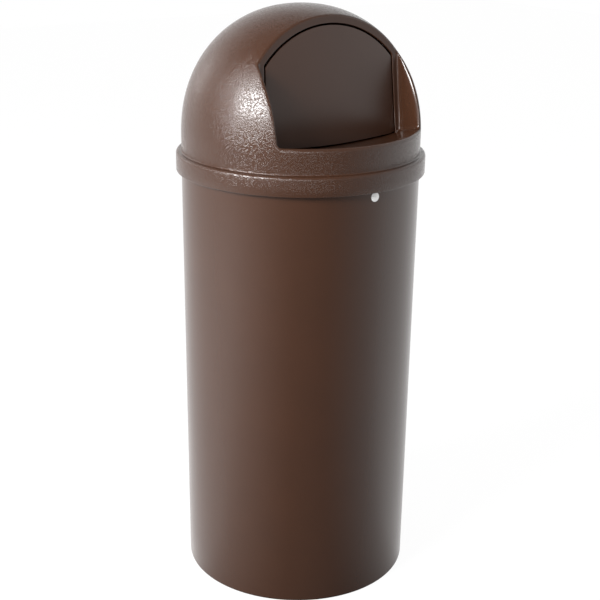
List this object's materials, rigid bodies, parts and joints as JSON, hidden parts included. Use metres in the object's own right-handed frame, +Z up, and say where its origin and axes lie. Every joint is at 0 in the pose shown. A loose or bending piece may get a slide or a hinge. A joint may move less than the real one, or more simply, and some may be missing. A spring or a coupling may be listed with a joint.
{
  "type": "trash can",
  "caption": "Tall round litter container with a lift-off domed hood and a self-closing push door set back in a recess above a sloping sill.",
  "frame": {"origin": "centre of the foot, on the floor", "axes": "+Z up, -Y the side with the door, +X to the right as seen from the front"},
  "size_m": [0.3906, 0.3904, 0.9271],
  "materials": {
    "brown_plastic": "dark brown moulded plastic, fine grain on the body and leathery pebble grain on the hood",
    "door_plastic": "dark brown moulded plastic, fine grain",
    "steel": "zinc-plated steel",
    "white_nylon": "smooth off-white nylon"
  },
  "bodies": {
    "body": {"body_shell": "brown_plastic", "tether_button": "white_nylon", "tether_washer": "steel"},
    "hood": {"hood_shell": "brown_plastic", "hinge_rod": "steel", "left_rod_cap": "steel", "right_rod_cap": "steel", "left_door_spring": "steel", "right_door_spring": "steel"},
    "door": {"push_door": "door_plastic"}
  },
  "joints": [
    {"name": "hood_lift", "type": "slide", "parent": "body", "child": "hood", "axis": [0, 0, 1], "range_m": [0, 0.12]},
    {"name": "door_swing", "type": "hinge", "parent": "hood", "child": "door", "pos_m": [0, -0.05946, 0.84051], "axis": [1, 0, 0], "range_deg": [0, 70], "stiffness_Nm_per_rad": 0.15, "springref_deg": -45.84, "deforming": ["left_door_spring", "right_door_spring"]}
  ]
}
